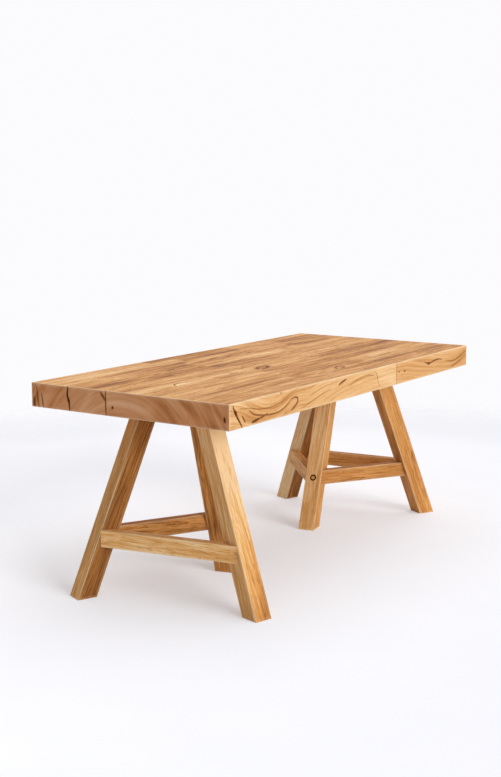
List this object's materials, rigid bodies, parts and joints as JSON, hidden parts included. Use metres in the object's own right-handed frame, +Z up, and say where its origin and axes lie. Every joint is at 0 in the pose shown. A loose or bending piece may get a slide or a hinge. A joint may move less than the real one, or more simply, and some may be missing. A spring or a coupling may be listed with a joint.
{
  "type": "trestle dining table",
  "caption": "Dining table with a thick oak plank top that lifts off the pegs of splayed oak tripod trestles, each braced by low stretchers.",
  "frame": {"origin": "on the floor under the middle of the top", "axes": "+X along the table towards the far trestle, +Y across it, +Z up"},
  "size_m": [1.8172, 0.8829, 0.75],
  "materials": {
    "oak_top": "oiled",
    "oak_frame": "oiled",
    "oak_plug": "oiled end grain",
    "beech_fittings": "bare"
  },
  "bodies": {
    "trestles": {"far_trestle_corner_key": "oak_plug", "far_trestle_end_leg": "oak_frame", "far_trestle_end_side_stretcher": "oak_frame", "far_trestle_head_board": "oak_frame", "far_trestle_inner_end_stretcher": "oak_frame", "far_trestle_inner_leg": "oak_frame", "far_trestle_pegs": "beech_fittings", "far_trestle_side_inner_stretcher": "oak_frame", "far_trestle_side_leg": "oak_frame", "far_trestle_tenon_wedges": "beech_fittings", "near_trestle_corner_key": "oak_plug", "near_trestle_end_leg": "oak_frame", "near_trestle_end_side_stretcher": "oak_frame", "near_trestle_head_board": "oak_frame", "near_trestle_inner_end_stretcher": "oak_frame", "near_trestle_inner_leg": "oak_frame", "near_trestle_pegs": "beech_fittings", "near_trestle_side_inner_stretcher": "oak_frame", "near_trestle_side_leg": "oak_frame", "near_trestle_tenon_wedges": "beech_fittings"},
    "top": {"top_dowels": "beech_fittings", "top_plank_1_a": "oak_top", "top_plank_1_b": "oak_top", "top_plank_2_a": "oak_top", "top_plank_2_b": "oak_top", "top_plank_3_a": "oak_top", "top_plank_3_b": "oak_top", "top_plank_4_a": "oak_top", "top_plank_4_b": "oak_top", "top_plank_5_a": "oak_top", "top_plank_5_b": "oak_top", "top_spline_1": "beech_fittings", "top_spline_2": "beech_fittings", "top_spline_3": "beech_fittings", "top_spline_4": "beech_fittings"}
  },
  "joints": [
    {"name": "top_lift", "type": "slide", "parent": "trestles", "child": "top", "axis": [0, 0, 1], "range_m": [0, 0.12]}
  ]
}
